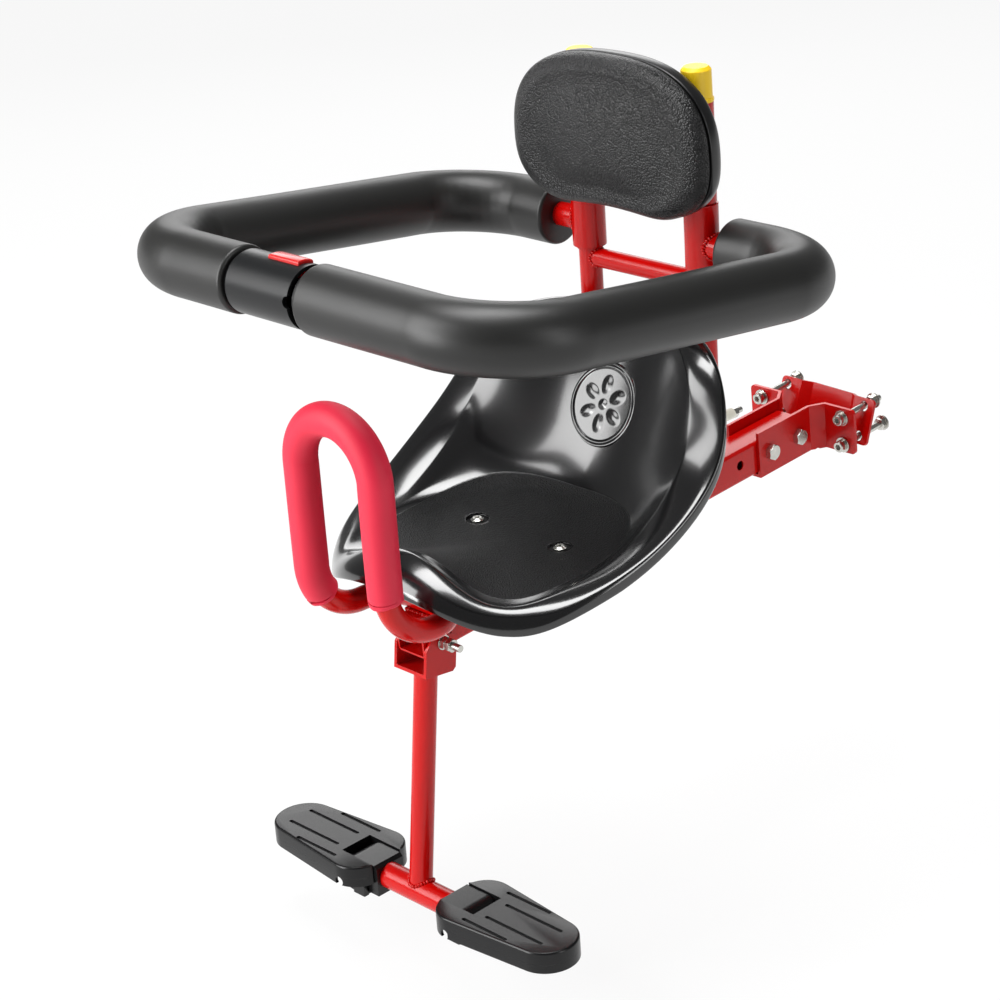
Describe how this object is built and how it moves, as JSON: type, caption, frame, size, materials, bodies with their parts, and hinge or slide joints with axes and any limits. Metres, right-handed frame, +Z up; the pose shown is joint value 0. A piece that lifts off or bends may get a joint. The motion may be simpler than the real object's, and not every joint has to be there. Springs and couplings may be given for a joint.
{
  "type": "child bike seat",
  "caption": "Child seat that clamps to a bicycle's seat tube, with a moulded pan, padded backrest, opening padded guard ring, front handle and folding footrests.",
  "frame": {"origin": "in the open clamp, on the axis of the bicycle's seat tube, midway between the beam's sides, at the height of the beam's centreline", "axes": "+X to the child's left, -Y the way the child faces, which is forwards on the bicycle, +Z up along the seat tube"},
  "size_m": [0.448, 0.6352, 0.6425],
  "materials": {
    "powder_coat_red": "glossy powder coat",
    "zinc": "bright zinc plate",
    "nylon": "pale natural nylon",
    "pan_plastic": "glossy black, grained on the floor",
    "shell_plastic": "satin black",
    "cushion_skin": "soft grained skin, like leather",
    "guard_foam": "soft satin foam",
    "buckle_plastic": "dark grey satin",
    "button_plastic": "glossy red",
    "cap_plastic": "glossy yellow",
    "grip_foam": "soft pinkish red foam",
    "footrest_plastic": "semi-gloss black"
  },
  "bodies": {
    "frame": {"main_beam": "powder_coat_red", "beam_bolts": "zinc", "beam_nuts": "zinc", "clamp_bracket": "powder_coat_red", "clamp_plate": "powder_coat_red", "clamp_bolts": "zinc", "clamp_washers": "zinc", "clamp_nuts": "zinc", "seat_bracket": "powder_coat_red", "seat_pan": "pan_plastic", "seat_screws": "zinc", "seat_nuts": "zinc", "back_stay": "powder_coat_red", "back_screws": "zinc", "back_bolts": "zinc", "back_spacers": "nylon", "back_nuts": "zinc", "backrest_hoop": "powder_coat_red", "upright_crossbar": "powder_coat_red", "backrest_tube_left": "powder_coat_red", "backrest_tube_right": "powder_coat_red", "backrest_plate": "powder_coat_red", "backrest_screws": "zinc", "backrest_shell": "shell_plastic", "backrest_cushion": "cushion_skin", "cap_left": "cap_plastic", "cap_right": "cap_plastic", "handle_tube": "powder_coat_red", "handle_grip": "grip_foam", "post_bracket": "powder_coat_red", "post_bolt": "zinc", "post_nuts": "zinc", "foot_post": "powder_coat_red", "foot_tube": "powder_coat_red", "footrest_hub_left": "footrest_plastic", "footrest_hub_right": "footrest_plastic"},
    "guard_arm_left": {"guard_sleeve_left": "powder_coat_red", "guard_tube_left": "powder_coat_red", "guard_foam_left": "guard_foam", "buckle_tongue": "buckle_plastic"},
    "guard_arm_right": {"guard_sleeve_right": "powder_coat_red", "guard_tube_right": "powder_coat_red", "guard_foam_right": "guard_foam", "buckle_socket": "buckle_plastic", "button_spring": "zinc"},
    "button": {"release_button": "button_plastic"},
    "footrest_l": {"footrest_left": "footrest_plastic", "footrest_pin_left": "zinc"},
    "footrest_r": {"footrest_right": "footrest_plastic", "footrest_pin_right": "zinc"}
  },
  "joints": [
    {"name": "guard_left_swing", "type": "hinge", "parent": "frame", "child": "guard_arm_left", "pos_m": [0.0615, -0.206, 0.2325], "axis": [0, 0, 1], "range_deg": [0, 105]},
    {"name": "guard_right_swing", "type": "hinge", "parent": "frame", "child": "guard_arm_right", "pos_m": [-0.0615, -0.206, 0.2325], "axis": [0, 0, -1], "range_deg": [0, 105]},
    {"name": "button_press", "type": "slide", "parent": "guard_arm_right", "child": "button", "axis": [0, -0.1253, -0.9921], "range_m": [0, 0.0034], "stiffness_N_per_m": 900, "springref_m": -0.0015, "deforming": ["button_spring"]},
    {"name": "footrest_left_fold", "type": "hinge", "parent": "frame", "child": "footrest_l", "pos_m": [0.062, -0.5025, -0.247], "axis": [0, -1, 0], "range_deg": [0, 90]},
    {"name": "footrest_right_fold", "type": "hinge", "parent": "frame", "child": "footrest_r", "pos_m": [-0.062, -0.5025, -0.247], "axis": [0, 1, 0], "range_deg": [0, 90]}
  ]
}
